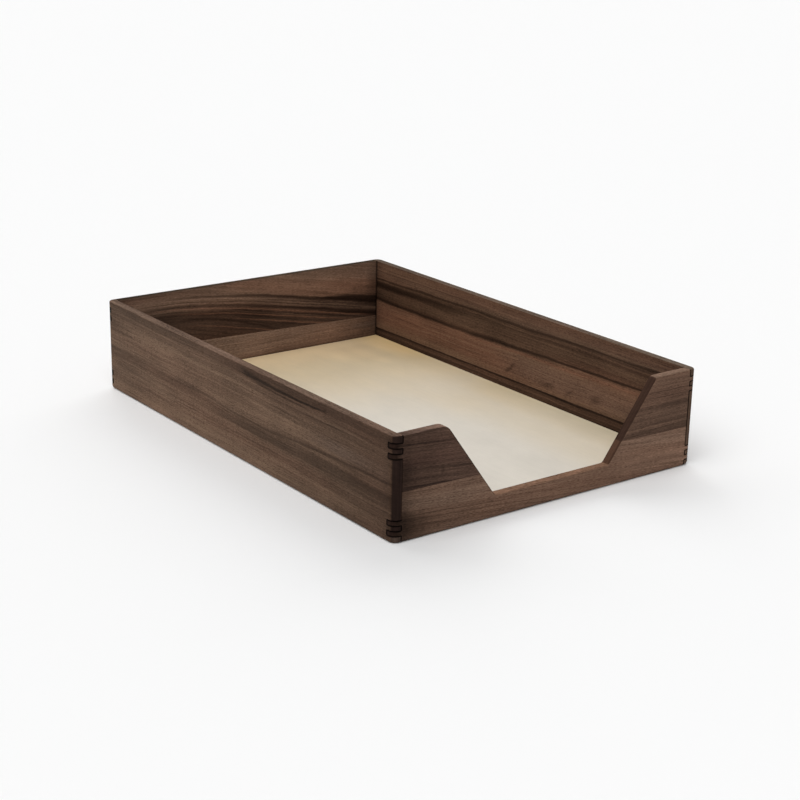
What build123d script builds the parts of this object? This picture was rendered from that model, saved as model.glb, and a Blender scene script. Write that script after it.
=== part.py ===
"""An open desk tray for paper, made of finger-jointed walnut boards on a birch bottom.

X runs across the tray, Y from its scooped front to its back, and Z up from the desk.
The origin is on the desk, under the middle of the tray. Sizes are in millimetres.
"""

import os

from build123d import *

os.makedirs("parts", exist_ok=True)

# Outside of the tray and its four walls
tray_width = 240.0
tray_length = 350.0
tray_height = 65.5
wall = 6.0

# Rounding of the outside corners and edges, and of the edges a hand meets inside
corner_radius = 5.0
bottom_edge_radius = 2.5
rounded_share_of_lip = 0.8
top_edge_radius = 1.0
eased_edge_radius = 0.4

# Finger joints: the side boards end in a taller finger at the desk and at the rim
end_finger = 4.5
finger = 3.2
fingers_per_group = 2
joint_line_width = 0.4
joint_line_depth = 0.35

# Scoop in the front board, for reaching the paper, cut a touch right of the middle
scoop_floor_width = 91.0
scoop_mouth_width = 166.0
scoop_centre = 0.8
scoop_sill_height = 14.5
scoop_corner_radius = 3.0

# Corners of the tabs beside the scoop, sanded by hand, the left one rounder
left_tab_radius = 9.0
right_tab_radius = 4.0

# Glue lines between the staves of a board, as heights at the two ends of the board
front_glue_line = (31.4, 27.0)
back_glue_line = (27.0, 20.8)
right_glue_line = (13.2, 11.4)

# Bottom panel, glued into a rebate that is cut round the inside from underneath
panel_thickness = 4.5
rebate_depth = 2.5
rebate_corner_radius = 6.0
panel_clearance = 0.15

# Places that follow from the sizes above
half_width = tray_width / 2
half_length = tray_length / 2
inner_width = tray_width - 2 * wall
inner_length = tray_length - 2 * wall
rebate_width = inner_width + 2 * rebate_depth
rebate_length = inner_length + 2 * rebate_depth
lip = wall - rebate_depth
overshoot = 1.0


def block(low, high, mode=Mode.ADD):
    """Add a block between two opposite corners to the part that is being built."""
    sizes = [top - bottom for bottom, top in zip(low, high)]
    centre = tuple((top + bottom) / 2 for bottom, top in zip(low, high))
    with Locations(centre):
        Box(*sizes, mode=mode)


def finger_spans():
    """Give the lower and upper height of each finger of the front and back boards."""
    spans = []
    for number in range(fingers_per_group):
        low = end_finger + 2 * finger * number
        spans.append((low, low + finger))
        spans.append((tray_height - low - finger, tray_height - low))
    return spans


def finger_edges():
    """Give the heights where one board's finger ends and the other board's begins."""
    return sorted(height for span in finger_spans() for height in span)


def socket_spans():
    """Give the spans between those fingers, which the fingers of the side boards fill."""
    edges = [0, *finger_edges(), tray_height]
    return list(zip(edges[0::2], edges[1::2]))


def across(side, outer, depth):
    """Give the lower and upper place of a layer under an outer face, side being -1 or 1."""
    return sorted((side * outer, side * (outer - depth)))


def corner_fingers(side, end, mode):
    """Add the fingers of one corner, side being -1 or 1 along X and end along Y."""
    x_faces = across(side, half_width, wall)
    y_faces = across(end, half_length, wall)
    for low, high in finger_spans():
        block((x_faces[0], y_faces[0], low), (x_faces[1], y_faces[1], high), mode)


def side_space(side):
    """Give the space of a side board, which runs the whole length of the tray."""
    faces = across(side, half_width, wall)
    with BuildPart() as space:
        block((faces[0], -half_length, 0), (faces[1], half_length, tray_height))
        for end in (-1, 1):
            corner_fingers(side, end, Mode.SUBTRACT)
    return space.part


def end_space(end):
    """Give the space of the front or back board, between the sides, with its fingers."""
    faces = across(end, half_length, wall)
    with BuildPart() as space:
        block((-inner_width / 2, faces[0], 0), (inner_width / 2, faces[1], tray_height))
        for side in (-1, 1):
            corner_fingers(side, end, Mode.ADD)
    return space.part


def glue_plane(first, last, span, along):
    """Give the plane of a glue line, from its heights at the two ends of its board."""
    slope = (last - first) / span
    middle = (first + last) / 2
    return Plane(origin=(0, 0, middle), z_dir=along * -slope + Vector(0, 0, 1))


left_space = side_space(-1)
right_space = side_space(1)
front_space = end_space(-1)
back_space = end_space(1)

front_glue = glue_plane(*front_glue_line, tray_width, Vector(1, 0, 0))
back_glue = glue_plane(*back_glue_line, tray_width, Vector(1, 0, 0))
right_glue = glue_plane(*right_glue_line, tray_length, Vector(0, 1, 0))
scoop_middle = Plane.YZ.offset(scoop_centre)

# Shallow lines round the fingers, where the edges of the boards are eased
with BuildPart() as joint_lines:
    with BuildSketch(*(Plane.XY.offset(z - joint_line_width / 2) for z in finger_edges())):
        RectangleRounded(
            tray_width + 2 * overshoot,
            tray_length + 2 * overshoot,
            corner_radius + overshoot,
        )
        RectangleRounded(
            tray_width - 2 * joint_line_depth,
            tray_length - 2 * joint_line_depth,
            corner_radius - joint_line_depth,
            mode=Mode.SUBTRACT,
        )
        Rectangle(inner_width, tray_length + 2 * overshoot, mode=Mode.SUBTRACT)
        Rectangle(tray_width + 2 * overshoot, inner_length, mode=Mode.SUBTRACT)
    extrude(amount=joint_line_width)
    for low, high in finger_spans():
        with BuildSketch(Plane.XY.offset(low)):
            with GridLocations(tray_width, inner_length, 2, 2):
                Rectangle(2 * joint_line_depth, joint_line_width)
        extrude(amount=high - low)
    for low, high in socket_spans():
        with BuildSketch(Plane.XY.offset(low)):
            with GridLocations(inner_width, tray_length, 2, 2):
                Rectangle(joint_line_width, 2 * joint_line_depth)
        extrude(amount=high - low)

# The four walls as they stand when glued up and sanded, before they are told apart
with BuildPart() as walls:
    with BuildSketch():
        RectangleRounded(tray_width, tray_length, corner_radius)
    extrude(amount=tray_height)
    underside = walls.faces().sort_by(Axis.Z)[0]
    bottom_rounding = min(bottom_edge_radius, rounded_share_of_lip * lip)
    fillet(underside.edges(), radius=bottom_rounding)
    with BuildSketch():
        Rectangle(inner_width, inner_length)
    extrude(amount=tray_height, mode=Mode.SUBTRACT)
    with BuildSketch():
        RectangleRounded(rebate_width, rebate_length, rebate_corner_radius)
    extrude(amount=panel_thickness, mode=Mode.SUBTRACT)

    with BuildSketch(Plane.XZ.offset(half_length + overshoot)) as scoop:
        with BuildLine():
            Polyline(
                (-half_width, tray_height + overshoot),
                (-half_width, tray_height),
                (scoop_centre - scoop_mouth_width / 2, tray_height),
                (scoop_centre - scoop_floor_width / 2, scoop_sill_height),
                (scoop_centre + scoop_floor_width / 2, scoop_sill_height),
                (scoop_centre + scoop_mouth_width / 2, tray_height),
                (half_width, tray_height),
                (half_width, tray_height + overshoot),
                close=True,
            )
        make_face()
        inner_corners = scoop.vertices().group_by(Axis.Y)[0]
        fillet(inner_corners, radius=scoop_corner_radius)
        left_tab_corner = scoop.vertices().group_by(Axis.Y)[-2].sort_by(Axis.X)[1]
        fillet(left_tab_corner, radius=left_tab_radius)
        right_tab_corner = scoop.vertices().group_by(Axis.Y)[-2].sort_by(Axis.X)[-2]
        fillet(right_tab_corner, radius=right_tab_radius)
    extrude(amount=-(wall + 2 * overshoot), mode=Mode.SUBTRACT)

    rim = walls.edges().sort_by_distance((0, half_length, tray_height))[0]
    fillet(rim, radius=top_edge_radius)
    inside_edge_points = (
        (-inner_width / 2, 0, tray_height),
        (inner_width / 2, 0, tray_height),
        (0, inner_length / 2, tray_height),
        (scoop_centre, -inner_length / 2, scoop_sill_height),
    )
    inside_edges = [walls.edges().sort_by_distance(point)[0] for point in inside_edge_points]
    fillet(inside_edges, radius=eased_edge_radius)
    add(joint_lines.part, mode=Mode.SUBTRACT)

# Left side, a single wide board
with BuildPart() as left_side_board:
    add(walls.part)
    add(left_space, mode=Mode.INTERSECT)
left_side_board.part.label = "left_side_board"

# Right side, a wide stave on a narrow dark one
with BuildPart() as right_side_board:
    add(walls.part)
    add(right_space, mode=Mode.INTERSECT)

with BuildPart() as right_upper_stave:
    add(right_side_board.part)
    split(bisect_by=right_glue, keep=Keep.TOP)
right_upper_stave.part.label = "right_upper_stave"

with BuildPart() as right_lower_stave:
    add(right_side_board.part)
    split(bisect_by=right_glue, keep=Keep.BOTTOM)
right_lower_stave.part.label = "right_lower_stave"

# Back, two staves
with BuildPart() as back_board:
    add(walls.part)
    add(back_space, mode=Mode.INTERSECT)

with BuildPart() as back_upper_stave:
    add(back_board.part)
    split(bisect_by=back_glue, keep=Keep.TOP)
back_upper_stave.part.label = "back_upper_stave"

with BuildPart() as back_lower_stave:
    add(back_board.part)
    split(bisect_by=back_glue, keep=Keep.BOTTOM)
back_lower_stave.part.label = "back_lower_stave"

# Front, whose upper stave the scoop leaves as two tabs
with BuildPart() as front_board:
    add(walls.part)
    add(front_space, mode=Mode.INTERSECT)

with BuildPart() as front_left_tab:
    add(front_board.part)
    split(bisect_by=front_glue, keep=Keep.TOP)
    split(bisect_by=scoop_middle, keep=Keep.BOTTOM)
front_left_tab.part.label = "front_left_tab"

with BuildPart() as front_right_tab:
    add(front_board.part)
    split(bisect_by=front_glue, keep=Keep.TOP)
    split(bisect_by=scoop_middle, keep=Keep.TOP)
front_right_tab.part.label = "front_right_tab"

with BuildPart() as front_lower_stave:
    add(front_board.part)
    split(bisect_by=front_glue, keep=Keep.BOTTOM)
front_lower_stave.part.label = "front_lower_stave"

# Bottom panel, flush with the rims of the boards underneath
with BuildPart() as bottom_panel:
    with BuildSketch():
        RectangleRounded(
            rebate_width - 2 * panel_clearance,
            rebate_length - 2 * panel_clearance,
            rebate_corner_radius - panel_clearance,
        )
    extrude(amount=panel_thickness)
bottom_panel.part.label = "bottom_panel"

export_step(left_side_board.part, "parts/left_side_board.step")
export_step(right_upper_stave.part, "parts/right_upper_stave.step")
export_step(right_lower_stave.part, "parts/right_lower_stave.step")
export_step(back_upper_stave.part, "parts/back_upper_stave.step")
export_step(back_lower_stave.part, "parts/back_lower_stave.step")
export_step(front_left_tab.part, "parts/front_left_tab.step")
export_step(front_right_tab.part, "parts/front_right_tab.step")
export_step(front_lower_stave.part, "parts/front_lower_stave.step")
export_step(bottom_panel.part, "parts/bottom_panel.step")
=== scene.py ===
"""Looks of the walnut desk tray: its finishes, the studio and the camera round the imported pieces.

The tray stands on the floor, X across it, Y from its scooped front to its back and Z up. Places
in the scene are in metres. Inside the finishes, sizes are in millimetres, as on a bench.
"""

import logging
import math
from dataclasses import dataclass, fields
from enum import Enum
from typing import Any, Mapping, Optional, Sequence, Union

import bmesh
import bpy
from mathutils import Color, Matrix, Vector


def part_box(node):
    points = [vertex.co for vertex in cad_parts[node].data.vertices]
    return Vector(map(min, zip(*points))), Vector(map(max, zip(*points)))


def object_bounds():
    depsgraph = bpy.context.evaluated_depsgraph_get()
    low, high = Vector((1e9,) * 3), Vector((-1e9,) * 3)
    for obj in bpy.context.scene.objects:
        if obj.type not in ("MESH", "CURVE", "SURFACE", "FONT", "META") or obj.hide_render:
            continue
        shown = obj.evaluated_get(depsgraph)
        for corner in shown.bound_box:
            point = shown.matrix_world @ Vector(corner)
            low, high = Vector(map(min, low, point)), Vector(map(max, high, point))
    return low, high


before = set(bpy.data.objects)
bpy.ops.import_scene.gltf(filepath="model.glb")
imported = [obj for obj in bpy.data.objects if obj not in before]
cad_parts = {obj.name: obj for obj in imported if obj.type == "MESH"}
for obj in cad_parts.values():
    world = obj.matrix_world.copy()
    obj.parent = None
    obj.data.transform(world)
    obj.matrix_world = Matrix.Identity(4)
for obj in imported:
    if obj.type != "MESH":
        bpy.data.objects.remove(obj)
cad_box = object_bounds()

log = logging.getLogger("desk_tray")

MM = 0.001
CHART_WHITE = 255
NOISE_MIDDLE = 0.5

Colour = tuple[float, float, float]
Pair = tuple[float, float]


def paint(red: float, green: float, blue: float) -> Colour:
    """Turn a chart's red, green and blue, 0 to 255, into the linear light of a shader."""
    chart = Color([value / CHART_WHITE for value in (red, green, blue)])
    return tuple(chart.from_srgb_to_scene_linear())


def wear(node: str, material: bpy.types.Material) -> None:
    """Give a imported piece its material.

    Args:
        node: The piece's name.
        material: What it is to wear.
    """
    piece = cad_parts[node]
    piece.data.materials.clear()
    piece.data.materials.append(material)
    log.info("%s dressed in %s", node, material.name)


class Tone:
    """One output of a shader node, to be used in plain sums."""

    def __init__(self, bench: "Bench", socket: bpy.types.NodeSocket) -> None:
        """Keep the bench that the node is on, and its output."""
        self.bench = bench
        self.socket = socket

    def also(self, name: str) -> "Tone":
        """Give another output of the same node, by its name."""
        return Tone(self.bench, self.socket.node.outputs[name])

    def __add__(self, other: "Number") -> "Tone":
        """Add a number."""
        return self.bench.arithmetic("ADD", self, other)

    __radd__ = __add__

    def __sub__(self, other: "Number") -> "Tone":
        """Take a number away."""
        return self.bench.arithmetic("SUBTRACT", self, other)

    def __rsub__(self, other: "Number") -> "Tone":
        """Take this away from a number."""
        return self.bench.arithmetic("SUBTRACT", other, self)

    def __mul__(self, other: "Number") -> "Tone":
        """Multiply by a number."""
        return self.bench.arithmetic("MULTIPLY", self, other)

    __rmul__ = __mul__

    def __truediv__(self, other: "Number") -> "Tone":
        """Divide by a number."""
        return self.bench.arithmetic("DIVIDE", self, other)

    def __abs__(self) -> "Tone":
        """Drop the sign."""
        return self.bench.arithmetic("ABSOLUTE", self)


Number = Union[float, Tone]
Socket = Union[float, Sequence[float], Tone]


@dataclass(frozen=True)
class Coat:
    """What protects a piece of wood, and how it takes the light.

    Attributes:
        shine: Its specular level.
        roughness: How rough it is on smooth wood, 0 to 1.
        relief: How strongly the wood's relief shows, 0 to 1.
        depth: Depth of that relief, in millimetres.
    """

    shine: float
    roughness: float
    relief: float
    depth: float


OIL = Coat(shine=0.02, roughness=0.46, relief=0.6, depth=0.6)
LACQUER = Coat(shine=0.12, roughness=0.42, relief=0.4, depth=0.5)


class Bench:
    """The node sheet of one material, with the few tools that its recipe needs."""

    def __init__(self, name: str) -> None:
        """Start an empty material.

        Args:
            name: The material's name.
        """
        self.material = bpy.data.materials.new(name)
        self.material.use_nodes = True
        self.tree = self.material.node_tree
        self.tree.nodes.clear()

    def node(
        self,
        kind: str,
        settings: Optional[Mapping[str, Any]] = None,
        values: Optional[Mapping[Union[int, str], Socket]] = None,
    ) -> Tone:
        """Add a node.

        Args:
            kind: The node's type.
            settings: Its settings, which are set first.
            values: What its sockets hold or are linked to, by name or by number.

        Returns:
            The node's first output in use, or for a node without outputs its first input.
        """
        made = self.tree.nodes.new(kind)
        for name, setting in (settings or {}).items():
            setattr(made, name, setting)
        for name, value in (values or {}).items():
            if isinstance(name, int):
                socket = made.inputs[name]
            else:
                socket = next(s for s in made.inputs if s.enabled and s.name == name)
            if isinstance(value, Tone):
                self.tree.links.new(value.socket, socket)
            else:
                socket.default_value = value
        sockets = [s for s in made.outputs if s.enabled] or list(made.inputs)
        return Tone(self, sockets[0])

    def arithmetic(self, operation: str, *numbers: Number) -> Tone:
        """Add a Math node for an operation on one or two numbers."""
        return self.node("ShaderNodeMath", {"operation": operation}, dict(enumerate(numbers)))

    def least(self, first: Number, second: Number) -> Tone:
        """Give the smaller of two numbers."""
        return self.arithmetic("MINIMUM", first, second)

    def most(self, first: Number, second: Number) -> Tone:
        """Give the larger of two numbers."""
        return self.arithmetic("MAXIMUM", first, second)

    def clamp(self, value: Number) -> Tone:
        """Keep a number from 0 to 1."""
        return self.node("ShaderNodeClamp", {}, {"Value": value})

    def fade(self, value: Number, low: float, high: float) -> Tone:
        """Rise smoothly from 0 to 1, or fall where low is the larger.

        Args:
            value: The number that it follows.
            low: Where it is 0.
            high: Where it is 1.

        Returns:
            The smooth rise.
        """
        smooth = {"interpolation_type": "SMOOTHSTEP"}
        values = {"Value": value, "From Min": low, "From Max": high}
        return self.node("ShaderNodeMapRange", smooth, values)

    def point(self, x: Number, y: Number, z: Number) -> Tone:
        """Join three numbers into a place."""
        return self.node("ShaderNodeCombineXYZ", {}, {"X": x, "Y": y, "Z": z})

    def parts(self, name: str) -> tuple[Tone, Tone, Tone]:
        """Split one of the surface's coordinates.

        Args:
            name: The name of the coordinates, as on the node.

        Returns:
            Their X, Y and Z.
        """
        whole = self.node("ShaderNodeTexCoord").also(name)
        split = self.node("ShaderNodeSeparateXYZ", {}, {"Vector": whole})
        return split.also("X"), split.also("Y"), split.also("Z")

    def noise(self, place: Tone, detail: float) -> Tone:
        """Give cloudy noise of about one cloud per unit of place, from 0 to 1."""
        values = {"Vector": place, "Scale": 1.0, "Detail": detail}
        return self.node("ShaderNodeTexNoise", {}, values)

    def blend(self, share: Number, first: Socket, second: Socket) -> Tone:
        """Mix two colours, with that share of the second."""
        values = {"Factor": share, "A": _opaque(first), "B": _opaque(second)}
        return self.node("ShaderNodeMix", {"data_type": "RGBA"}, values)

    def shade(self, colour: Tone, strength: Number) -> Tone:
        """Make a colour darker or lighter by one factor."""
        values = {0: colour, "Scale": strength}
        return self.node("ShaderNodeVectorMath", {"operation": "SCALE"}, values)

    def colour_shift(self, colour: Tone, colour_shift: Colour) -> Tone:
        """Multiply a colour by another one."""
        values = {0: colour, 1: colour_shift}
        return self.node("ShaderNodeVectorMath", {"operation": "MULTIPLY"}, values)

    def coated(
        self, coat: Coat, colour: Tone, roughness: Tone, height: Tone
    ) -> bpy.types.Material:
        """End the recipe with coated wood.

        Args:
            coat: What protects the wood.
            colour: The wood's colour.
            roughness: How much rougher it is than smooth wood.
            height: How high its surface stands, 1 being the depth of the relief.

        Returns:
            The finished material.
        """
        relief = {"Strength": coat.relief, "Distance": coat.depth * MM, "Height": height}
        values = {
            "Base Color": colour,
            "Roughness": coat.roughness + roughness,
            "Normal": self.node("ShaderNodeBump", {}, relief),
            "Specular IOR Level": coat.shine,
        }
        return self.finish(self.node("ShaderNodeBsdfPrincipled", {}, values))

    def finish(self, surface: Tone) -> bpy.types.Material:
        """End the recipe with the output of its shader, and give the material."""
        self.node("ShaderNodeOutputMaterial", {}, {"Surface": surface})
        return self.material


def _opaque(colour: Socket) -> Socket:
    """Add the full alpha that a colour socket holds to a plain colour."""
    return colour if isinstance(colour, Tone) else (*colour, 1.0)


def mixed(*noises: tuple[Tone, float]) -> Tone:
    """Add noises, each swinging about nought and as strong as the number with it."""
    return sum((noise - NOISE_MIDDLE) * strength for noise, strength in noises)


@dataclass(frozen=True)
class Tray:
    """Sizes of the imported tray, in millimetres.

    Attributes:
        half_width: Half its width.
        half_length: Half its length.
        half_height: Half its height.
        wall: How thick its boards are.
    """

    half_width: float
    half_length: float
    half_height: float
    wall: float

    @classmethod
    def packed(cls) -> "Tray":
        """Read the sizes off the frame.

        Returns:
            The sizes of the tray as it was packed.
        """
        low, high = cad_box
        half = (high - low) / (2 * MM)
        back_low, back_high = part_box("back_upper_stave")
        return cls(half.x, half.y, half.z, (back_high.y - back_low.y) / MM)


TRAY = Tray.packed()


@dataclass(frozen=True)
class Cloud:
    """Cloudy noise, drawn out more one way than another.

    Attributes:
        density: Clouds per millimetre, along each of three ways.
        detail: How many finer layers it has.
    """

    density: tuple[float, float, float]
    detail: float

    def noise(self, bench: Bench, ways: Sequence[Tone], seed: float = 0.0) -> Tone:
        """Take the noise at a place.

        Args:
            bench: The material's bench.
            ways: How far the place lies along each of the three ways.
            seed: Which stretch of the noise is taken.

        Returns:
            The noise, 0 to 1.
        """
        first, second, third = (way * density for way, density in zip(ways, self.density))
        return bench.noise(bench.point(first + seed, second, third), self.detail)


# How far a seed moves a growth noise, and its density through a board as a share of its lines'
SEED_SPREAD = 7.0
SHARE_THROUGH = 0.25


@dataclass(frozen=True)
class Growth:
    """Noise that follows the growth lines of a board.

    Attributes:
        stretch: Clouds per millimetre along the board.
        lines: Clouds per millimetre across the growth lines.
        shift: What tells this noise from the others.
        detail: How many finer layers it has.
    """

    stretch: float
    lines: float
    shift: float
    detail: float

    def noise(self, spot: "Spot") -> Tone:
        """Take the noise at a spot.

        Args:
            spot: The spot on the board.

        Returns:
            The noise, 0 to 1.
        """
        place = spot.bench.point(
            spot.along * self.stretch + (spot.seed * SEED_SPREAD + self.shift),
            spot.level * self.lines + spot.seed,
            spot.through * (self.lines * SHARE_THROUGH) + self.shift,
        )
        return spot.bench.noise(place, self.detail)


@dataclass(frozen=True)
class Spot:
    """A spot on a board, as its shader sees it. Places are in millimetres.

    Attributes:
        bench: The bench of the board's material.
        x: Place across the tray.
        y: Place along it.
        z: Height.
        along: Place along the grain.
        through: Place through the board, from its best face.
        level: Height among the growth lines.
        seed: Which stretch of the noises the board takes.
    """

    bench: Bench
    x: Tone
    y: Tone
    z: Tone
    along: Tone
    through: Tone
    level: Tone
    seed: float

    def cloud(self, cloud: Cloud) -> Tone:
        """Give a cloudy noise that doesn't follow the growth lines, 0 to 1."""
        return cloud.noise(self.bench, (self.along, self.z, self.through), self.seed)


# Layers of walnut's growth, from its broad bands down to specks, and the rings at its ends
BANDS = Growth(stretch=0.0035, lines=0.11, shift=0.0, detail=3.0)
LINES = Growth(stretch=0.009, lines=0.55, shift=31.0, detail=2.0)
FIBRES = Growth(stretch=0.025, lines=1.9, shift=57.0, detail=3.0)
SPECKS = Growth(stretch=0.45, lines=2.6, shift=71.0, detail=1.0)
REDNESS = Growth(stretch=0.006, lines=0.05, shift=83.0, detail=1.0)
RINGS = Growth(stretch=0.009, lines=0.8, shift=11.0, detail=3.0)

# Its unevenness: along the grain, up and through the board
WANDER = Cloud((0.012, 0.05, 0.05), detail=1.0)
RIPPLE = Cloud((0.09, 0.4, 0.4), detail=1.0)
MOTTLE = Cloud((0.03, 0.07, 0.07), detail=2.0)
LAYERS = Cloud((0.02, 0.02, 0.6), detail=1.0)
PORES = Cloud((0.16, 4.2, 4.2), detail=0.0)

# Height of the ripples, and how gently falling growth lines set in, in millimetres
RIPPLE_HEIGHT = 1.2
DROP_EASE = 25.0

# Where a noise begins to tell and where it tells fully
RED_RANGE = (0.42, 0.75)
PORE_RANGE = (0.6, 0.74)

# Where a face counts as turned up, or to the board's end, by its normal
UPWARD_RANGE = (0.4, 0.9)
ENDWARD_RANGE = (0.3, 0.6)

# How strongly the layers tell in the figure, in the grain that lies over it, and in the ends
BANDS_IN_FIGURE = 2.2
LINES_IN_FIGURE = 0.9
RED_IN_FIGURE = 0.5
FIBRES_IN_GRAIN = 1.25
LINES_IN_GRAIN = 0.5
SPECKS_IN_GRAIN = 1.5
MOTTLE_IN_GRAIN = 0.6
RINGS_IN_END = 0.5
LAYERS_IN_END = 1.2

# How bright a cut end is before its rings and layers, and what darkens the wood by how much,
# the last of them the painted shade in the inside corners
END_BASE = 0.15
PORE_DARKNESS = 0.35
ARRIS_DARKNESS = 0.2
LINE_DARKNESS = 0.86
CORNER_DARKNESS = 0.75

# How much rougher each of these makes it, and how high or deep they stand in the relief
FIBRE_ROUGHNESS = 0.12
PORE_ROUGHNESS = 0.2
END_ROUGHNESS = 0.2
RIM_ROUGHNESS = 0.5
GROWTH_RELIEF = 0.03
PORE_RELIEF = 0.06

# The arris of a cut end and the edge of its foot, in millimetres
ARRIS_RANGE = (1.5, 0.2)
FOOT_EDGE = 0.3

# How far a streak's edge frays, how wide its soft edge is at least, and what makes the product
# of a share and its rest, a quarter at most, peak at 1
FRAY = 0.8
LEAST_SOFT = 0.25
PEAK = 4.0

# What the tints make of a board's dark and light growth
DARK_SHARE = 0.3
LIGHT_SHARE = 1.35
GREY_SHARES = (1.28, 0.94, 0.78)


class Grain(Enum):
    """The axis that the grain of a board runs along."""

    ALONG_LENGTH = "Y"
    ALONG_WIDTH = "X"


class Tint(Enum):
    """What a streak of figure does to the wood's colour."""

    # DARK streaks also lay painted shade beside the back's right inner corner
    DARK = "heartwood line"
    LIGHT = "pale line"
    RED = "reddish wood"
    GREY = "greyish wood"


DARK, LIGHT, RED, GREY = Tint


@dataclass(frozen=True)
class Streak:
    """A line or zone of figure that follows the grain. Sizes are in millimetres.

    Attributes:
        tint: What it does to the colour.
        start: Where it starts along the board.
        end: Where it ends.
        heights: Its height at the start and the end.
        halves: Half its thickness at the start and the end.
        strength: Its share of the tint at its middle, 0 to 1.
        bow: How far its middle stands above the line between its ends.
        ends: How long it takes to fade in and out.
        soft: The share of its half thickness that is soft edge.
    """

    tint: Tint
    start: float
    end: float
    heights: Pair
    halves: Pair
    strength: float
    bow: float = 0.0
    ends: float = 25.0
    soft: float = 1.0

    def mask(self, spot: Spot, ragged: Tone) -> Tone:
        """Find where the streak lies.

        Args:
            spot: The spot on the board.
            ragged: The noise that frays its edges.

        Returns:
            A mask, as high as the streak's strength at its middle.
        """
        bench = spot.bench
        share = bench.clamp((spot.along - self.start) / (self.end - self.start))
        low, high = self.heights
        first, last = self.halves
        middle = low + share * (high - low) + share * (1.0 - share) * (PEAK * self.bow)
        half = first + share * (last - first)
        off = abs(spot.level - middle) / half + mixed((ragged, FRAY))
        mask = bench.fade(off, 1.0 + self.soft / 2, 1.0 - self.soft / 2 - LEAST_SOFT)
        mask = mask * bench.fade(spot.along, self.start - self.ends, self.start + self.ends)
        mask = mask * bench.fade(spot.along, self.end + self.ends, self.end - self.ends)
        return mask * self.strength


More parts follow.
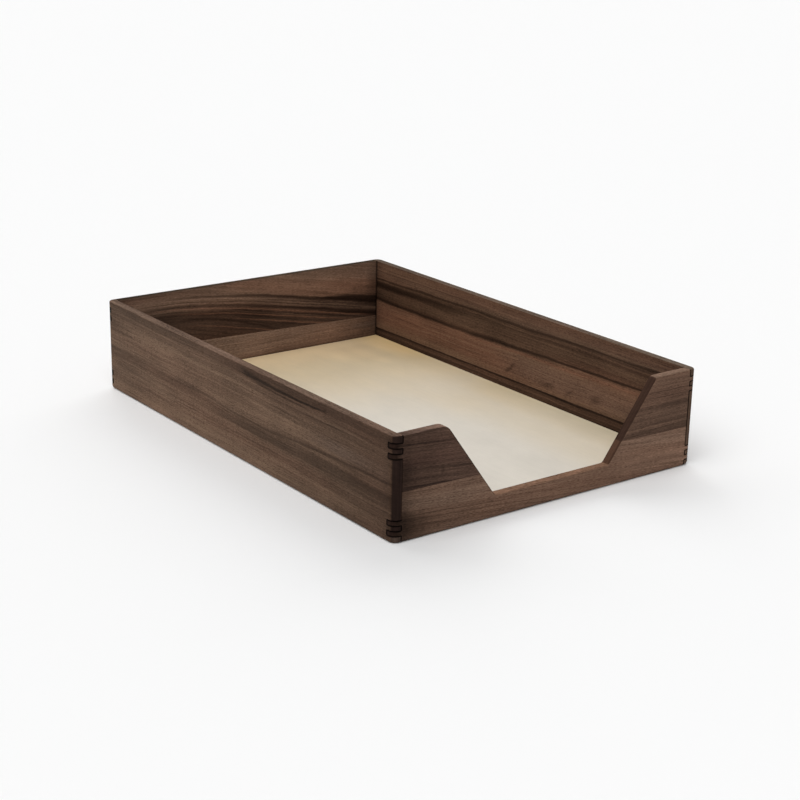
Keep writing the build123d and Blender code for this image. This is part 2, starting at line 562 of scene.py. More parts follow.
@dataclass(frozen=True)
class WalnutFinish:
    """Oiled walnut, with the grain, figure and colour of one board.

    Attributes:
        grain: The way the grain runs.
        dark: Colour of its darker growth.
        light: Colour of its paler growth.
        red: Colour of its reddish wood.
        end: Colour of its cut ends.
        seed: Which stretch of the noise it takes.
        face: Where its best face lies through the board, in millimetres.
        contrast: How far dark and pale growth are apart, about 1.
        slope: How far the growth lines climb per millimetre along the board.
        tilt: How far they climb per millimetre through the board.
        wander: How far they stray up and down, in millimetres.
        drop: How steeply the growth lines fall away past drop_from.
        drop_from: Where along the board they start to fall.
        foot: Colour of its cut ends near the desk, if that differs.
        foot_top: How high those reach.
        painted_top_light: Painted light and shade on its upper faces, as shares of red, green and
            blue.
        gains: How much brighter it is at places along it, as pairs of place and gain. Some paint
            shade near a corner.
        streaks: The lines and zones that stand out.
    """

    grain: Grain
    dark: Colour
    light: Colour
    red: Colour
    end: Colour
    seed: float
    face: float
    contrast: float = 1.0
    slope: float = 0.0
    tilt: float = 0.45
    wander: float = 3.0
    drop: float = 0.0
    drop_from: float = 0.0
    foot: Optional[Colour] = None
    foot_top: float = 14.3
    painted_top_light: Colour = (1.0, 0.9, 0.8)
    gains: tuple[Pair, ...] = ()
    streaks: tuple[Streak, ...] = ()

    def material(self, name: str, joints: "JointLines") -> bpy.types.Material:
        """Make the finish.

        Args:
            name: The material's name.
            joints: The lines round the fingers and the painted shade in the inside corners.

        Returns:
            The finished material.
        """
        bench = Bench(name)
        spot = self._spot(bench)
        lines = LINES.noise(spot)
        fibres = FIBRES.noise(spot)
        pores = bench.fade(spot.cloud(PORES), *PORE_RANGE)
        normal = dict(zip("XYZ", bench.parts("Normal")))
        upward = bench.fade(normal["Z"], *UPWARD_RANGE)
        cut = bench.fade(abs(normal[self.grain.value]), *ENDWARD_RANGE)

        colour = self._figure(spot, lines)
        specks = SPECKS.noise(spot)
        grain = mixed((fibres, FIBRES_IN_GRAIN), (lines, LINES_IN_GRAIN), (specks, SPECKS_IN_GRAIN))
        mottle = mixed((spot.cloud(MOTTLE), MOTTLE_IN_GRAIN))
        colour = bench.shade(colour, 1.0 + grain * self.contrast + mottle)
        colour = bench.shade(colour, 1.0 - pores * PORE_DARKNESS)
        colour = self._brighten(spot, colour)
        # Painted light and shade on the faces that look up, by the finish's factors for its upper
        # faces
        colour = bench.blend(upward, colour, bench.colour_shift(colour, self.painted_top_light))
        colour = bench.blend(cut, colour, self._end_grain(spot))
        colour = bench.shade(colour, 1.0 - joints.mask(spot) * LINE_DARKNESS)
        # Painted shade in the inside corners and along the foot of the inner walls
        colour = bench.shade(colour, 1.0 - joints.corner_shadow(spot) * CORNER_DARKNESS)

        roughness = mixed((fibres, FIBRE_ROUGHNESS)) + pores * PORE_ROUGHNESS
        roughness = roughness + cut * END_ROUGHNESS + upward * RIM_ROUGHNESS
        height = fibres * GROWTH_RELIEF + lines * GROWTH_RELIEF - pores * PORE_RELIEF
        return bench.coated(OIL, colour, roughness, height)

    def _spot(self, bench: Bench) -> Spot:
        """Find where a spot of the board lies on the tray and among the growth lines.

        Args:
            bench: The bench of the board's material.

        Returns:
            The spot.
        """
        x, y, z = (part / MM for part in bench.parts("Object"))
        along, through = (y, x) if self.grain is Grain.ALONG_LENGTH else (x, y)
        through = through - self.face
        wander, ripple = (
            cloud.noise(bench, (along, z, through), self.seed) for cloud in (WANDER, RIPPLE)
        )
        level = z + along * self.slope + through * self.tilt
        level = level + mixed((wander, self.wander), (ripple, RIPPLE_HEIGHT))
        if self.drop:
            past = along - self.drop_from
            eased = bench.arithmetic("SQRT", past * past + DROP_EASE**2) + past
            level = level + eased * (self.drop / 2)
        return Spot(bench, x, y, z, along, through, level, self.seed)

    def _figure(self, spot: Spot, lines: Tone) -> Tone:
        """Colour the growth and lay every streak on it.

        Args:
            spot: The spot on the board.
            lines: The noise of its growth lines.

        Returns:
            The colour of the figure.
        """
        bench = spot.bench
        share = mixed((BANDS.noise(spot), BANDS_IN_FIGURE), (lines, LINES_IN_FIGURE))
        share = bench.clamp(NOISE_MIDDLE + share * self.contrast)
        colour = bench.blend(share, self.dark, self.light)
        reddish = bench.fade(REDNESS.noise(spot), *RED_RANGE) * RED_IN_FIGURE
        colour = bench.blend(reddish, colour, self.red)
        grey = sum(self.light) / len(self.light)
        tints = {
            DARK: tuple(DARK_SHARE * value for value in self.dark),
            LIGHT: tuple(LIGHT_SHARE * value for value in self.light),
            RED: self.red,
            GREY: tuple(grey * value for value in GREY_SHARES),
        }
        for streak in self.streaks:
            colour = bench.blend(streak.mask(spot, lines), colour, tints[streak.tint])
        return colour

    def _brighten(self, spot: Spot, colour: Tone) -> Tone:
        """Make a colour as bright as the gains ask for along the board.

        Args:
            spot: The spot on the board.
            colour: Its colour so far.

        Returns:
            The brightened colour.
        """
        bench = spot.bench
        if self.gains:
            colour = bench.shade(colour, self.gains[0][1])
        for (start, low), (end, high) in zip(self.gains, self.gains[1:]):
            rise = bench.fade(spot.along, start, end) * (high / low - 1.0)
            colour = bench.shade(colour, 1.0 + rise)
        return colour

    def _end_grain(self, spot: Spot) -> Tone:
        """Colour the board's cut ends.

        Args:
            spot: The spot on the board.

        Returns:
            The colour of the end grain.
        """
        bench = spot.bench
        foot = bench.fade(spot.z, self.foot_top + FOOT_EDGE, self.foot_top - FOOT_EDGE)
        colour = bench.blend(foot, self.end, self.foot or self.end)
        arris = bench.fade(spot.through, *ARRIS_RANGE)
        growth = RINGS.noise(spot) * RINGS_IN_END + spot.cloud(LAYERS) * LAYERS_IN_END
        return bench.shade(colour, END_BASE + growth - arris * ARRIS_DARKNESS)


@dataclass(frozen=True)
class Zone:
    """A soft-edged zone of the bottom panel. Places are in millimetres.

    Attributes:
        share: What it adds at its middle.
        across: Its edges across the tray, each from where it is nought to where it is full.
        along: Its edges along the tray, the same way.
    """

    share: float
    across: tuple[Pair, ...] = ()
    along: tuple[Pair, ...] = ()

    def strength(self, bench: Bench, x: Tone, y: Tone) -> Tone:
        """Work out what the zone adds at a place.

        Args:
            bench: The panel's bench.
            x: The place across the tray.
            y: The place along it.

        Returns:
            Its share there.
        """
        edges = [bench.fade(x, *edge) for edge in self.across]
        edges += [bench.fade(y, *edge) for edge in self.along]
        return math.prod(edges) * self.share


@dataclass(frozen=True)
class TintAndPaintedBounce:
    """A change of the bottom panel's colour: a tint of its wood, and along the right wall painted
    warm light thrown back from the walnut.

    Attributes:
        colour: What it does to the wood, as shares of red, green and blue.
        zones: Where it lies. What they add together is how strong it is.
    """

    colour: Colour
    zones: tuple[Zone, ...]


# Birch's noises: across the tray, along it and up
CLOUDS = Cloud((0.03, 0.012, 0.03), detail=3.0)
BLOTCHES = Cloud((0.09, 0.06, 0.09), detail=2.0)
VENEER = Cloud((0.9, 0.02, 0.9), detail=3.0)
FLECKS = Cloud((2.2, 0.35, 2.2), detail=0.0)
FLECK_RANGE = (0.66, 0.8)

# How strongly they tell in its brightness, its roughness and its relief
CLOUDS_IN_LIGHT = 0.16
BLOTCHES_IN_LIGHT = 0.1
VENEER_IN_LIGHT = 0.1
FLECK_DARKNESS = 0.05
VENEER_ROUGHNESS = 0.1
VENEER_RELIEF = 0.02

# Where the panel turns tan and then warm towards the back and how far that strays, in
# millimetres, and how much sooner it comes per millimetre to the right
TAN_RANGE = (-40.0, 150.0)
WARM_RANGE = (120.0, 175.0)
WARMTH_STRAY = 60.0
WARMTH_SLANT = 0.3

# Height at which the panel's cut edge shows its core
CORE_RANGE = (4.0, 3.5)


@dataclass(frozen=True)
class BirchFinish:
    """Clear lacquered birch veneer, warmer at the back of the tray.

    Attributes:
        pale: Its colour towards the front.
        tan: Its colour between the middle and the back.
        warm: Its colour along the back board.
        core: Colour of its cut edges.
        zones: Where it is brighter or darker, mostly painted shade by the right and back walls and
            painted light on the right.
        tints_and_painted_bounce: Where its colour is turned, along the right wall by painted warm
            light from the walnut.
    """

    pale: Colour
    tan: Colour
    warm: Colour
    core: Colour
    zones: tuple[Zone, ...]
    tints_and_painted_bounce: tuple[TintAndPaintedBounce, ...]

    def material(self, name: str) -> bpy.types.Material:
        """Make the finish.

        Args:
            name: The material's name.

        Returns:
            The finished material.
        """
        bench = Bench(name)
        x, y, z = (part / MM for part in bench.parts("Object"))
        clouds, blotches, veneer, flecks = (
            cloud.noise(bench, (x, y, z)) for cloud in (CLOUDS, BLOTCHES, VENEER, FLECKS)
        )
        flecks = bench.fade(flecks, *FLECK_RANGE)
        back = y + mixed((clouds, WARMTH_STRAY)) + x * WARMTH_SLANT
        colour = bench.blend(bench.fade(back, *TAN_RANGE), self.pale, self.tan)
        colour = bench.blend(bench.fade(back, *WARM_RANGE), colour, self.warm)
        light = 1.0 + sum(zone.strength(bench, x, y) for zone in self.zones)
        light = light + mixed(
            (clouds, CLOUDS_IN_LIGHT), (blotches, BLOTCHES_IN_LIGHT), (veneer, VENEER_IN_LIGHT)
        )
        colour = bench.shade(colour, light - flecks * FLECK_DARKNESS)
        for colour_shift in self.tints_and_painted_bounce:
            share = sum(zone.strength(bench, x, y) for zone in colour_shift.zones)
            colour = bench.blend(share, colour, bench.colour_shift(colour, colour_shift.colour))
        colour = bench.blend(bench.fade(z, *CORE_RANGE), colour, self.core)
        roughness = mixed((veneer, VENEER_ROUGHNESS))
        return bench.coated(LACQUER, colour, roughness, (veneer - flecks) * VENEER_RELIEF)


# Where a spot counts as on an inner face, by how far it lies past it, in millimetres
INNER_FACE = (0.6, 0.2)

# Where the painted shade of an upright inside corner, its narrow crease and its wider dusk, begins
# and is full, and the heights at which the painted shade along the walls' foot over the panel does,
# in millimetres
CREASE = (-1.6, -0.3)
DUSK = (-12.0, 0.0)
PANEL_CREASE = (6.2, 4.6)

# How dark each of them is, as a share of the full painted shade
CREASE_SHARE = 0.7
DUSK_SHARE = 0.3
PANEL_SHARE = 0.45


@dataclass(frozen=True)
class JointLines:
    """The dark lines round the fingers at the tray's corners, and the painted shade in its inside
    corners. Sizes are in millimetres.

    Attributes:
        tray: The tray's own sizes.
        end_finger: Height of the first finger of a side board.
        finger: Height of the other fingers.
        half_line: Half the width of a line, with its soft edge.
        soft: The share of that half width where the line is fully dark.
        blur: How soft the edges of the fingers are, each way.
        lead: How far before a corner its level lines start.
        skin: How deep under a face its upright lines start to show, and show fully.
        filled_up: Heights between which the filled middle of the left corners begins.
        filled_left: Places across the tray between which it begins.
    """

    tray: Tray
    end_finger: float = 4.5
    finger: float = 3.2
    half_line: float = 0.7
    soft: float = 0.3
    blur: float = 0.1
    lead: float = 0.3
    skin: Pair = (1.0, 0.5)
    filled_up: Pair = (12.0, 15.0)
    filled_left: Pair = (-100.0, -110.0)

    def mask(self, spot: Spot) -> Tone:
        """Find where a line runs over the outer faces.

        Args:
            spot: The spot on the board.

        Returns:
            A mask, 1 in the middle of a line.
        """
        bench = spot.bench
        past_x, past_y = self._past(spot)
        from_end = self.tray.half_height - abs(spot.z - self.tray.half_height)
        # A group is two fingers and the gap between them, all equally high
        group_middle = self.end_finger + 3 * self.finger / 2
        from_middle = abs(from_end - group_middle)
        from_edge = abs(from_middle - self.finger) - self.finger / 2
        in_finger = bench.fade(from_edge, self.blur, -self.blur)

        in_corner = bench.fade(bench.least(past_x, past_y), -self.lead, 0.0)
        level_lines = self._line(bench, from_edge) * in_corner
        skin = [self.tray.wall - depth for depth in self.skin]
        side_lines = self._line(bench, past_y) * bench.fade(past_x, *skin) * in_finger
        end_lines = self._line(bench, past_x) * bench.fade(past_y, *skin) * (1.0 - in_finger)
        filled = bench.fade(from_end, *self.filled_up) * bench.fade(spot.x, *self.filled_left)
        return bench.most(level_lines, bench.most(side_lines, end_lines * (1.0 - filled)))

    def corner_shadow(self, spot: Spot) -> Tone:
        """Find the painted shade in the inside corners and along the foot of the inner walls.

        Args:
            spot: The spot on the board.

        Returns:
            Its strength, up to 1.
        """
        bench = spot.bench
        past_x, past_y = self._past(spot)
        inside = bench.fade(bench.most(past_x, past_y), *INNER_FACE)
        nearness = bench.least(past_x, past_y)
        crease = bench.fade(nearness, *CREASE) * CREASE_SHARE
        upright = crease + bench.fade(nearness, *DUSK) * DUSK_SHARE
        return inside * bench.most(upright, bench.fade(spot.z, *PANEL_CREASE) * PANEL_SHARE)

    def _past(self, spot: Spot) -> tuple[Tone, Tone]:
        """Measure how far a spot lies past the inner faces.

        Args:
            spot: The spot on the board.

        Returns:
            How far it does across the tray, and along it.
        """
        tray = self.tray
        past_x = abs(spot.x) - (tray.half_width - tray.wall)
        return past_x, abs(spot.y) - (tray.half_length - tray.wall)

    def _line(self, bench: Bench, off: Tone) -> Tone:
        """Give a soft line where a distance is nought."""
        return bench.fade(abs(off), self.half_line, self.soft * self.half_line)


# The left side's wide board: tan brown, a soft dark band along its middle
LEFT_SIDE = WalnutFinish(
    grain=Grain.ALONG_LENGTH,
    dark=paint(80, 62, 50),
    light=paint(108, 87, 71),
    red=paint(97, 73, 59),
    end=paint(40, 29, 25),
    foot=paint(76, 62, 54),
    foot_top=4.4,
    painted_top_light=(1.98, 2.1, 2.3),
    seed=2.3,
    face=-TRAY.half_width,
    gains=((-173, 0.65), (-160, 0.8), (-95, 0.97), (-35, 1.07), (25, 1.17), (85, 1.2), (145, 1.07)),
    streaks=(
        Streak(RED, -175, 25, (62, 62), (5.5, 4), 0.6),
        Streak(DARK, -200, 200, (64.5, 65), (7, 5.5), 0.45),
        Streak(DARK, -90, 0, (65, 65), (6, 6), 0.25),
        Streak(RED, -125, 75, (15, 17), (7, 6), 0.5),
        Streak(LIGHT, 80, 150, (49, 49.5), (5.5, 5), 0.5),
        Streak(LIGHT, 99, 116, (52.8, 52.8), (1.2, 1.2), 0.4, ends=7),
        Streak(LIGHT, -30, 35, (51.6, 51), (0.8, 0.7), 0.55, ends=12),
        Streak(LIGHT, -100, -40, (42, 41.5), (4, 3.5), 0.45),
        Streak(GREY, -165, -100, (41, 41), (4.5, 4.5), 0.3),
        Streak(DARK, -200, -110, (14, 15), (6, 4), 0.3, ends=20),
        Streak(DARK, 130, 160, (21.5, 21.5), (3.5, 3.5), 0.25, ends=10),
        Streak(DARK, 155, 200, (59.5, 59.5), (6, 6), 0.25, ends=12),
        Streak(LIGHT, -115, 75, (12.5, 13.5), (1.2, 1.2), 0.35),
        Streak(LIGHT, -60, 200, (4, 4), (6, 7), 0.45),
        Streak(LIGHT, -200, -60, (4, 4), (6, 6), 0.15),
        Streak(RED, -200, -140, (33, 33), (50, 50), 0.5),
        Streak(DARK, -200, -168, (9.3, 9.3), (1.8, 1.8), 0.45, ends=2),
        Streak(DARK, 115, 200, (33, 33), (1.2, 1.5), 0.45),
        Streak(DARK, 45, 115, (30.5, 32), (3.5, 4), 0.25),
        Streak(DARK, -55, 65, (31, 33.5), (0.9, 0.9), 0.45, bow=-1),
        Streak(DARK, -200, -55, (37.5, 31.5), (0.9, 0.8), 0.45),
        Streak(DARK, -200, 5, (24.3, 25.6), (5.3, 2.5), 0.44),
        Streak(DARK, -200, -135, (25, 25), (5, 5), 0.14, ends=15),
        Streak(DARK, -200, -134, (61.5, 61.5), (4, 4), 0.17, ends=10),
        Streak(DARK, -125, -60, (21, 20.5), (2.2, 2.2), 0.12, ends=12),
        Streak(DARK, -115, -70, (13.6, 13.6), (1.8, 1.8), 0.13, ends=12),
        Streak(DARK, -15, 5, (20.6, 20.6), (2.4, 2.4), 0.13, ends=12),
        Streak(LIGHT, -85, 8, (35.6, 36.4), (2.6, 2.4), 0.2, ends=14),
        Streak(LIGHT, -170, -118, (42, 42), (4, 4), 0.12, ends=10),
        Streak(LIGHT, -168, -113, (10.4, 10.4), (1.6, 1.6), 0.14, ends=10),
        Streak(LIGHT, -125, -65, (30.6, 30.6), (1.6, 1.6), 0.22, ends=12),
        Streak(LIGHT, 40, 105, (16.5, 16.5), (2.6, 2.6), 0.17, ends=14),
        Streak(LIGHT, 30, 200, (23.5, 23.5), (3, 3), 0.12, ends=20),
        Streak(DARK, 10, 105, (57.5, 57.5), (3.4, 3.4), 0.13, ends=14),
        Streak(DARK, 70, 200, (53.5, 53.5), (2.6, 2.6), 0.1, ends=15),
        Streak(DARK, 75, 200, (35.5, 35.5), (2.4, 2.4), 0.16, ends=20),
        Streak(DARK, -200, -116, (51.6, 51.6), (3.8, 3.8), 0.15, ends=14),
        Streak(DARK, -200, -105, (27.8, 28.3), (1, 0.8), 0.35),
        Streak(DARK, -32, 6, (23.4, 24.1), (0.9, 0.8), 0.35, ends=10),
        Streak(DARK, -60, -20, (27.6, 27.4), (1, 0.8), 0.25, ends=10),
        Streak(DARK, -200, 75, (18, 17.5), (0.5, 0.4), 0.35),
        Streak(DARK, -140, -40, (53.5, 53), (0.5, 0.4), 0.35),
        Streak(DARK, -110, -45, (48.5, 48), (0.4, 0.4), 0.3),
        Streak(DARK, -104, -11, (60.6, 61.6), (0.6, 2.2), 0.95, bow=-1, ends=7),
        Streak(DARK, -85, -25, (57.6, 58.6), (0.6, 0.8), 0.6, bow=-0.5, ends=9),
    ),
)

# The right side's wide stave: grey brown above, reddish below
RIGHT_UPPER = WalnutFinish(
    grain=Grain.ALONG_LENGTH,
    dark=paint(74, 54, 43),
    light=paint(108, 84, 67),
    red=paint(116, 83, 66),
    end=paint(98, 78, 65),
    painted_top_light=(1.03, 1.28, 1.48),
    seed=4.9,
    face=TRAY.half_width - TRAY.wall,
    gains=((-60, 1.12), (60, 0.97)),
    streaks=(
        Streak(RED, 20, 200, (25, 24), (9, 10.5), 0.75),
        Streak(RED, -200, 20, (25, 25), (10, 9), 0.4),
        Streak(GREY, -200, 0, (22, 25), (8, 9), 0.25),
        Streak(LIGHT, -200, 0, (27, 27), (10, 7), 0.2),
        Streak(RED, -150, 60, (36.6, 32.4), (1.4, 1), 0.8),
        Streak(RED, -200, 200, (61.5, 61.5), (4, 4), 0.4),
        Streak(DARK, -200, 0, (61.5, 61.5), (8, 6), 0.22),
        Streak(GREY, -200, 200, (58.5, 58.5), (5, 5), 0.12),
        Streak(LIGHT, 90, 200, (60.5, 60.5), (4, 4), 0.3),
        Streak(LIGHT, 30, 200, (14, 13), (3, 3), 0.5),
        Streak(DARK, -200, -80, (14, 14), (1.4, 1), 0.35),
        Streak(LIGHT, 9, 109, (27, 26), (0.9, 0.7), 0.35),
        Streak(LIGHT, 30, 120, (22.5, 22.5), (0.7, 0.7), 0.25),
        Streak(DARK, -160, 200, (45, 43), (8.5, 9.5), 0.25, soft=0.5),
        Streak(DARK, -10, 90, (50.5, 48), (2.6, 3.4), 0.4),
        Streak(DARK, 70, 200, (48, 47.4), (2.6, 3.6), 0.9, bow=0.4),
        Streak(DARK, -60, -15, (50.5, 51), (2, 2.6), 0.35),
        Streak(DARK, -200, 200, (55.9, 51.4), (1.3, 0.9), 0.75, bow=0.5),
        Streak(DARK, 50, 200, (58.6, 58.4), (0.5, 0.5), 0.35),
        Streak(DARK, 60, 200, (38.5, 38.5), (4, 4), 0.35),
        Streak(LIGHT, 45, 105, (43, 42), (6, 6), 0.2),
        Streak(DARK, -160, 60, (40.7, 35.6), (0.8, 1.4), 0.85),
        Streak(DARK, 60, 200, (35.6, 35.4), (1.4, 1.5), 0.9, bow=-0.8),
        Streak(DARK, -3, 7, (23.5, 16.5), (2, 1.5), 0.5, ends=3),
        Streak(DARK, -46, -36, (19.5, 17.5), (2.2, 1.6), 0.4, ends=4),
        Streak(DARK, -66, -58, (21, 16), (1.4, 1.4), 0.35, ends=3),
        Streak(DARK, -94, -84, (21.5, 19.5), (3.4, 2.6), 0.45, ends=4),
    ),
)

# The right side's narrow dark stave
RIGHT_LOWER = WalnutFinish(
    grain=Grain.ALONG_LENGTH,
    dark=paint(52, 38, 30),
    light=paint(86, 64, 51),
    red=paint(90, 62, 49),
    end=paint(98, 78, 65),
    seed=6.1,
    face=TRAY.half_width - TRAY.wall,
    gains=((-130, 0.88), (-30, 1.0), (60, 1.36), (105, 1.4), (160, 1.1)),
    streaks=(
        Streak(DARK, -200, 200, (12.6, 10.8), (1, 1), 0.75),
        Streak(DARK, -200, 200, (7.2, 6.4), (0.8, 1.2), 0.35),
    ),
)

# The back's upper stave: strong figure that falls to the right
BACK_UPPER = WalnutFinish(
    grain=Grain.ALONG_WIDTH,
    dark=paint(76, 56, 47),
    light=paint(132, 107, 91),
    red=paint(142, 102, 82),
    end=paint(34, 26, 22),
    painted_top_light=(0.3, 0.3, 0.27),
    seed=7.7,
    face=TRAY.half_length - TRAY.wall,
    contrast=0.85,
    drop=0.19,
    drop_from=-54.0,
    streaks=(
        Streak(LIGHT, -20, 160, (75, 84), (9, 17), 0.45),
        Streak(RED, -20, 160, (70, 76), (6, 10), 0.35),
        Streak(RED, 70, 160, (75, 80), (6, 8), 0.4),
        Streak(DARK, 70, 160, (75, 80), (6, 8), 0.15),
        Streak(RED, 72, 104, (81.9, 88), (7, 7), 0.12, ends=8),
        Streak(LIGHT, -120, 0, (56, 59), (8, 6), 0.25),
        Streak(LIGHT, -100, -40, (57, 57.5), (5, 4), 0.3),
        Streak(DARK, -160, 50, (40, 41), (14.5, 14), 0.7, soft=0.3),
        Streak(LIGHT, -80, -35, (39, 39), (8, 8), 0.07, ends=12),
        Streak(LIGHT, -40, 28, (64, 67), (4, 4), 0.22),
        Streak(DARK, 50, 95, (47, 49), (4.5, 4.5), 0.35),
        Streak(DARK, -15, 20, (49, 51.5), (4.5, 4.5), 0.5, ends=12),
        Streak(DARK, 50, 160, (44, 48), (12, 7), 0.45, soft=0.4),
        Streak(DARK, 66, 160, (59, 61), (2, 3), 0.35),
        # Painted shade beside the right inner corner
        Streak(DARK, 106, 160, (79.5, 89.6), (9, 9), 0.38, ends=5),
        Streak(DARK, 88, 160, (71, 84.5), (3, 3), 0.3, ends=8),
        Streak(DARK, -45, 25, (48, 59.5), (3.5, 3), 0.3, ends=12),
        Streak(DARK, -66, 160, (61.4, 65.4), (0.8, 2.4), 0.6, bow=0.6),
        Streak(DARK, 20, 160, (63.5, 65.4), (1.4, 2.4), 0.5, bow=0.2),
        Streak(DARK, 10, 160, (61, 63), (0.5, 1), 0.6, ends=12),
        Streak(DARK, -20, 40, (63.6, 64.6), (1, 1), 0.4, ends=12),
        Streak(DARK, 40, 160, (57.8, 58), (2.4, 3), 0.35),
        Streak(DARK, 60, 160, (65.2, 69), (0.8, 9.5), 0.95, ends=10),
        Streak(DARK, -95, 160, (55.2, 55.8), (1.1, 1.4), 0.6, bow=0.6),
        Streak(DARK, 10, 160, (56, 55.8), (1.2, 1.4), 0.6, bow=0.2),
        Streak(DARK, 76, 160, (55, 54.5), (0.6, 5), 0.9, ends=12),
        Streak(DARK, -20, 100, (58.8, 59.8), (0.4, 0.5), 0.5, ends=12),
        Streak(DARK, -95, -10, (58, 58.4), (0.4, 0.4), 0.5, ends=12),
        Streak(DARK, 30, 120, (52.2, 51.6), (0.5, 0.7), 0.6, ends=12),
        Streak(DARK, -60, 18, (45.2, 38.6), (0.9, 1), 0.6, bow=1.8, ends=8),
        Streak(DARK, -30, 14, (44.4, 42.4), (0.5, 0.6), 0.45, bow=0.6, ends=8),
        Streak(DARK, -58, -20, (36.9, 33.1), (0.8, 0.8), 0.4, ends=8),
        Streak(DARK, -62, -30, (33.6, 31), (0.5, 0.5), 0.35, ends=6),
        Streak(DARK, 10, 90, (47.6, 46.6), (0.5, 0.5), 0.5, ends=12),
        Streak(DARK, 20, 80, (43.5, 42.5), (0.5, 0.5), 0.5, ends=12),
        Streak(RED, -80, 100, (53.4, 53.9), (0.5, 0.5), 0.4, ends=20),
        Streak(RED, -60, 80, (49.5, 49.5), (0.5, 0.6), 0.4, ends=20),
        Streak(RED, -10, 80, (45.5, 44.8), (0.5, 0.6), 0.4, ends=20),
        Streak(RED, -50, 30, (39.5, 36.5), (0.5, 0.5), 0.3, ends=20),
    ),
)

# The back's lower stave: plain and reddish
BACK_LOWER = WalnutFinish(
    grain=Grain.ALONG_WIDTH,
    dark=paint(107, 86, 74),
    light=paint(140, 117, 101),
    red=paint(143, 111, 92),
    end=paint(34, 26, 22),
    seed=8.3,
    face=TRAY.half_length - TRAY.wall,
    gains=((-10, 1.13), (60, 1.0), (105, 0.7)),
    streaks=(
        Streak(DARK, -40, 160, (5.5, 5.5), (2.5, 2.5), 0.3),
        Streak(RED, 50, 160, (12, 12), (9, 9), 0.5),
        Streak(DARK, -20, 160, (9, 9), (5.5, 6.5), 0.14),
        Streak(GREY, 90, 112, (15, 14), (2.5, 2.5), 0.3, ends=8),
        # Painted shade beside the right inner corner
        Streak(DARK, 98, 160, (12, 12), (12, 12), 0.2, ends=12),
    ),
)

# The left tab: dark, with fine lines that fall to the right
LEFT_TAB = WalnutFinish(
    grain=Grain.ALONG_WIDTH,
    dark=paint(58, 44, 37),
    light=paint(88, 68, 57),
    red=paint(86, 63, 54),
    end=paint(40, 28, 23),
    seed=5.1,
    face=-TRAY.half_length,
    slope=0.085,
    wander=1.5,
    painted_top_light=(2.9, 3.1, 3.2),
    # Its gains darken it towards the left corner: painted shade
    gains=((-118, 0.3), (-113.3, 0.7), (-102, 0.93), (-80, 1.28)),
    streaks=(
        Streak(DARK, -140, -106, (31.5, 31.5), (11, 9), 0.5, ends=8),
        Streak(DARK, -140, -70, (49, 49), (6, 5), 0.15),
        Streak(DARK, -130, -70, (49.6, 49.6), (0.6, 0.6), 0.6),
        Streak(DARK, -130, -70, (47.6, 47.8), (0.4, 0.4), 0.4),
        Streak(DARK, -90, -50, (33.6, 32.8), (0.7, 0.8), 0.6),
        Streak(DARK, -110, -80, (23.6, 24.6), (0.9, 0.7), 0.5, ends=6),
        Streak(RED, -120, -70, (41, 41), (5, 5), 0.4),
    ),
)

# The right tab: browner, its lines level, darkest along the glue line
RIGHT_TAB = WalnutFinish(
    grain=Grain.ALONG_WIDTH,
    dark=paint(76, 58, 48),
    light=paint(110, 86, 71),
    red=paint(106, 79, 65),
    end=paint(61, 44, 36),
    painted_top_light=(1.55, 1.72, 1.78),
    seed=9.7,
    face=-TRAY.half_length,
    slope=0.01,
    wander=0.8,
    contrast=0.9,
    gains=((86, 1.06), (102, 0.98)),
    streaks=(
        Streak(LIGHT, 60, 130, (61, 61), (5, 5), 0.35),
        Streak(LIGHT, 60, 140, (41, 40), (3, 3), 0.2),
        Streak(DARK, 50, 140, (29.5, 28.5), (5, 5.5), 0.35),
        Streak(DARK, 80, 140, (35.5, 35), (0.5, 0.6), 0.35, ends=10),
        Streak(DARK, 80, 140, (52.5, 52), (0.4, 0.5), 0.5, ends=10),
        Streak(DARK, 75, 140, (56.5, 56), (0.4, 0.4), 0.4, ends=10),
        Streak(DARK, 70, 140, (46.5, 46), (1.6, 1.6), 0.3, ends=10),
    ),
)

# The front's lower stave: lighter, a little pink below the scoop
FRONT_LOWER = WalnutFinish(
    grain=Grain.ALONG_WIDTH,
    dark=paint(92, 71, 59),
    light=paint(126, 102, 86),
    red=paint(121, 92, 75),
    end=paint(78, 56, 44),
    foot=paint(42, 30, 25),
    painted_top_light=(1.25, 1.2, 1.14),
    seed=3.4,
    face=-TRAY.half_length,
    slope=0.08,
    # Its gains darken it towards the left corner: painted shade
    gains=(
        (-118, 0.24), (-113.3, 0.43), (-102, 0.75), (-84, 0.92), (-20, 0.92), (40, 1.04),
        (85, 1.22),
    ),
    streaks=(
        Streak(LIGHT, -130, -40, (15.5, 15.5), (5.5, 4.5), 0.3),
        Streak(RED, -140, -30, (2, 2), (9, 7), 0.6),
        Streak(DARK, -140, -50, (2, 1), (8, 6), 0.3),
        Streak(DARK, -140, -100, (2, 0), (11, 7), 0.65, ends=12),
        Streak(DARK, -120, 20, (4, 4), (0.5, 0.5), 0.4),
        Streak(DARK, -100, 20, (7, 7), (0.4, 0.4), 0.3),
        Streak(RED, -60, 60, (8, 8), (9, 9), 0.6),
        Streak(RED, 60, 140, (10, 12), (6, 6), 0.3),
    ),
)


@dataclass(frozen=True)
class Walls:
    """The four walls of the tray. Each field is the finish of the stave of that name."""

    left_side_board: WalnutFinish = LEFT_SIDE
    right_upper_stave: WalnutFinish = RIGHT_UPPER
    right_lower_stave: WalnutFinish = RIGHT_LOWER
    back_upper_stave: WalnutFinish = BACK_UPPER
    back_lower_stave: WalnutFinish = BACK_LOWER
    front_left_tab: WalnutFinish = LEFT_TAB
    front_right_tab: WalnutFinish = RIGHT_TAB
    front_lower_stave: WalnutFinish = FRONT_LOWER

    def dress(self) -> None:
        """Give every stave its finish."""
        joints = JointLines(TRAY)
        for stave in fields(self):
            finish = getattr(self, stave.name)
            wear(stave.name, finish.material(f"walnut_of_{stave.name}", joints))
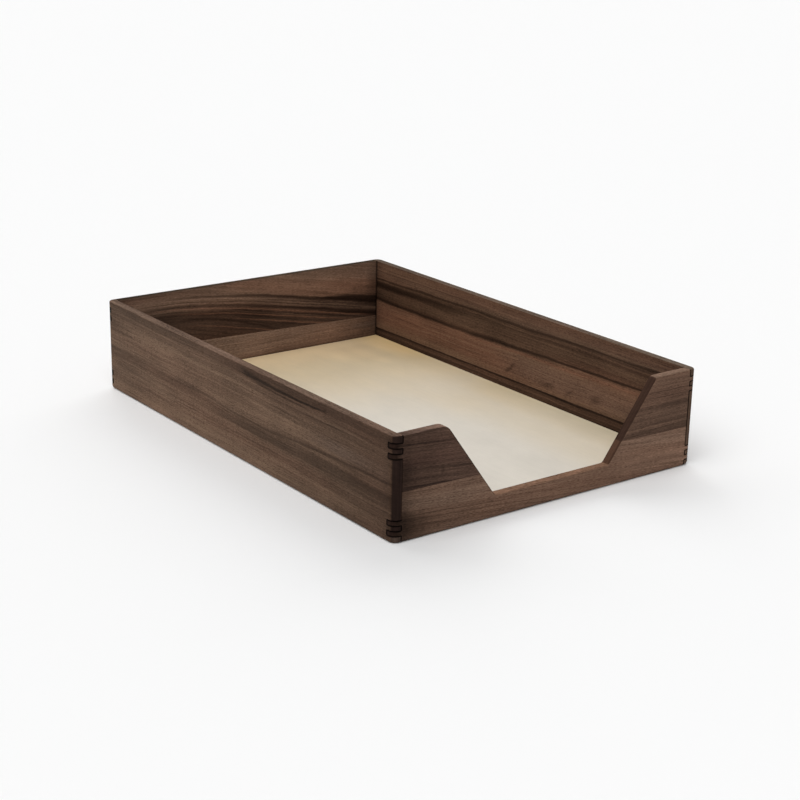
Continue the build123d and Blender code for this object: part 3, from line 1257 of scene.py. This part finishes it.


# The bottom panel: greyish in front, tan behind, yellower along the right from painted warm light
# off the walnut wall
PANEL = BirchFinish(
    pale=paint(212, 205, 193),
    tan=paint(212, 193, 160),
    warm=paint(230, 204, 164),
    core=paint(178, 148, 112),
    # Painted shade at the back right, by the right wall and in a patch, painted light on the right
    zones=(
        Zone(-0.2, across=((0, 114),), along=((60, 140),)),
        Zone(0.14, across=((20, 90),), along=((160, 130),)),
        Zone(-0.13, across=((20, 90), (80, 114)), along=((160, 130),)),
        Zone(0.07, along=((95, 125), (168, 155))),
        Zone(-0.13, across=((50, 72), (98, 84)), along=((100, 122), (166, 148))),
    ),
    tints_and_painted_bounce=(
        TintAndPaintedBounce(
            colour=(1.0, 0.96, 0.88),
            zones=(Zone(1.0, across=((35, 75), (112, 90)), along=((40, -10),)),),
        ),
        # Painted warm light thrown back from the right walnut wall, yellowing the panel along it
        TintAndPaintedBounce(
            colour=(1.0, 0.93, 0.76),
            zones=(
                Zone(1.0, across=((80, 114),)),
                Zone(-0.7, across=((80, 114),), along=((10, 45), (125, 80))),
            ),
        ),
    ),
)


@dataclass(frozen=True)
class BottomPanel:
    """The pale panel that the paper lies on.

    Attributes:
        finish: Its finish.
    """

    finish: BirchFinish = PANEL

    def dress(self) -> None:
        """Give the panel its finish."""
        wear("bottom_panel", self.finish.material("lacquered_birch"))


@dataclass(frozen=True)
class Viewpoint:
    """Where the photographer stands, as fitted to the tray's edges. Angles are in degrees.

    Attributes:
        place: The camera's place.
        heading: How far it is turned from looking along Y, clockwise from above.
        dip: How far it looks down.
        roll: How far it is rolled, its right side rising.
        lens: Its focal length in millimetres.
        sensor: Width of its sensor in millimetres.
        reach: The nearest and farthest distance that it sees.
    """

    place: tuple[float, float, float] = (-0.643204, -0.881119, 0.379703)
    heading: float = 36.704
    dip: float = 18.382
    roll: float = 1.170
    lens: float = 75.21
    sensor: float = 36.0
    reach: Pair = (0.05, 50.0)

    def set_up(self) -> None:
        """Make the camera and give it to the scene."""
        heading, dip, roll = (math.radians(a) for a in (self.heading, self.dip, self.roll))
        ahead = Vector((
            math.sin(heading) * math.cos(dip),
            math.cos(heading) * math.cos(dip),
            -math.sin(dip),
        ))
        level = Vector((math.cos(heading), -math.sin(heading), 0.0))
        above = level.cross(ahead)
        right = math.cos(roll) * level + math.sin(roll) * above
        up = math.cos(roll) * above - math.sin(roll) * level
        turn = Matrix((right, up, -ahead)).transposed().to_4x4()
        data = bpy.data.cameras.new("photographer")
        data.sensor_width = self.sensor
        data.lens = self.lens
        data.clip_start, data.clip_end = self.reach
        camera = bpy.data.objects.new("photographer", data)
        bpy.context.scene.collection.objects.link(camera)
        camera.matrix_world = Matrix.Translation(self.place) @ turn
        bpy.context.scene.camera = camera
        log.info("camera set up")


@dataclass(frozen=True)
class Lamp:
    """A big soft lamp, far away.

    Attributes:
        name: Its name.
        strength: Its light on a sheet that faces it, as a share of white.
        lean: How far it stands from straight overhead, in degrees.
        bearing: Which way it stands, in degrees clockwise from the back of the tray.
        spread: How wide it looks, in degrees.
    """

    name: str
    strength: float
    lean: float
    bearing: float
    spread: float = 60.0

    def switch_on(self) -> None:
        """Hang the lamp and point it at the tray."""
        data = bpy.data.lights.new(self.name, "SUN")
        data.energy = self.strength * math.pi
        data.angle = math.radians(self.spread)
        lamp = bpy.data.objects.new(self.name, data)
        bpy.context.scene.collection.objects.link(lamp)
        lean, bearing = math.radians(self.lean), math.radians(self.bearing)
        aim = -Vector((
            math.sin(lean) * math.sin(bearing),
            math.sin(lean) * math.cos(bearing),
            math.cos(lean),
        ))
        lamp.matrix_world = aim.to_track_quat("-Z", "Y").to_matrix().to_4x4()
        log.info("%s switched on", self.name)


@dataclass(frozen=True)
class Studio:
    """A plain pale floor under soft white light.

    Attributes:
        floor_side: Side of the square floor, in metres.
        gap: How far it lies below the tray, in millimetres, so that the two don't meet.
        whiteness: How white the floor is.
        sky: Strength of the light from all round.
        lamps: The big soft lamps.
    """

    floor_side: float = 40.0
    gap: float = 0.02
    whiteness: float = 0.92
    sky: float = 0.24
    lamps: tuple[Lamp, ...] = (
        Lamp("lamp_front_left", strength=0.64, lean=35.0, bearing=240.0),
        Lamp("lamp_back", strength=0.24, lean=62.0, bearing=0.0),
        Lamp("lamp_back_right", strength=0.38, lean=62.0, bearing=45.0),
    )

    def set_up(self) -> None:
        """Lay the floor and switch the light on."""
        self._floor()
        self._sky()
        for lamp in self.lamps:
            lamp.switch_on()
        view = bpy.context.scene.view_settings
        view.view_transform = "Standard"
        view.look = "None"
        view.exposure = 0.0
        view.gamma = 1.0
        log.info("studio set up")

    def _floor(self) -> None:
        """Lay the floor just under the tray."""
        mesh = bpy.data.meshes.new("studio_floor")
        sheet = bmesh.new()
        bmesh.ops.create_grid(sheet, x_segments=1, y_segments=1, size=self.floor_side / 2)
        bmesh.ops.translate(sheet, verts=sheet.verts, vec=(0.0, 0.0, -self.gap * MM))
        sheet.to_mesh(mesh)
        sheet.free()
        bench = Bench("studio_paper")
        colour = (self.whiteness,) * 3
        surface = bench.node("ShaderNodeBsdfDiffuse", {}, {"Color": _opaque(colour)})
        mesh.materials.append(bench.finish(surface))
        floor = bpy.data.objects.new("studio_floor", mesh)
        bpy.context.scene.collection.objects.link(floor)

    def _sky(self) -> None:
        """Light the studio evenly from all round."""
        world = bpy.data.worlds.new("studio_light")
        world.use_nodes = True
        background = world.node_tree.nodes["Background"]
        background.inputs["Color"].default_value = (1.0, 1.0, 1.0, 1.0)
        background.inputs["Strength"].default_value = self.sky
        bpy.context.scene.world = world


def main() -> None:
    """Dress the tray, light it and set the camera up."""
    logging.basicConfig(level=logging.INFO)
    Viewpoint().set_up()
    Walls().dress()
    BottomPanel().dress()
    Studio().set_up()


if __name__ == "__main__":
    main()
